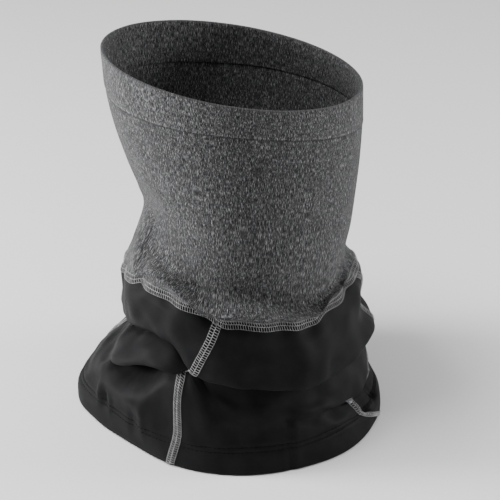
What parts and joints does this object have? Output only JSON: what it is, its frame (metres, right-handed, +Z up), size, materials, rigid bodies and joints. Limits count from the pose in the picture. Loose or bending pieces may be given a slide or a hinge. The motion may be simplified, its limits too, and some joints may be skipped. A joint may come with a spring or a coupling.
{
  "type": "neck gaiter",
  "caption": "Pull-on neck gaiter in its worn shape: a smooth heather-grey jersey face tube sewn to folded black stretch-fleece panels that flare over the shoulders.",
  "frame": {"origin": "on the floor, at the middle of the bottom hem's box", "axes": "+Z up through the tube, -Y the way the wearer faces, +X the wearer's left"},
  "size_m": [0.21, 0.194, 0.2716],
  "materials": {
    "jersey": "heather-grey knitted jersey, matt, with fine streaks along the tube",
    "fleece": "black smooth-faced stretch fleece with a faint sheen",
    "seam_thread": "light grey flatlock stitching thread",
    "hem_thread": "black cover-stitch thread",
    "bond_film": "thin stretch bonding film, hidden in the top hem"
  },
  "bodies": {
    "root": {"upper_tube": "jersey", "top_hem_bond": "bond_film", "front_panel": "fleece", "left_side_panel": "fleece", "right_side_panel": "fleece", "back_panel": "fleece", "neck_seam_thread": "seam_thread", "front_left_seam_thread": "seam_thread", "back_left_seam_thread": "seam_thread", "front_right_seam_thread": "seam_thread", "back_right_seam_thread": "seam_thread", "hem_stitch_thread": "hem_thread"}
  },
  "joints": []
}
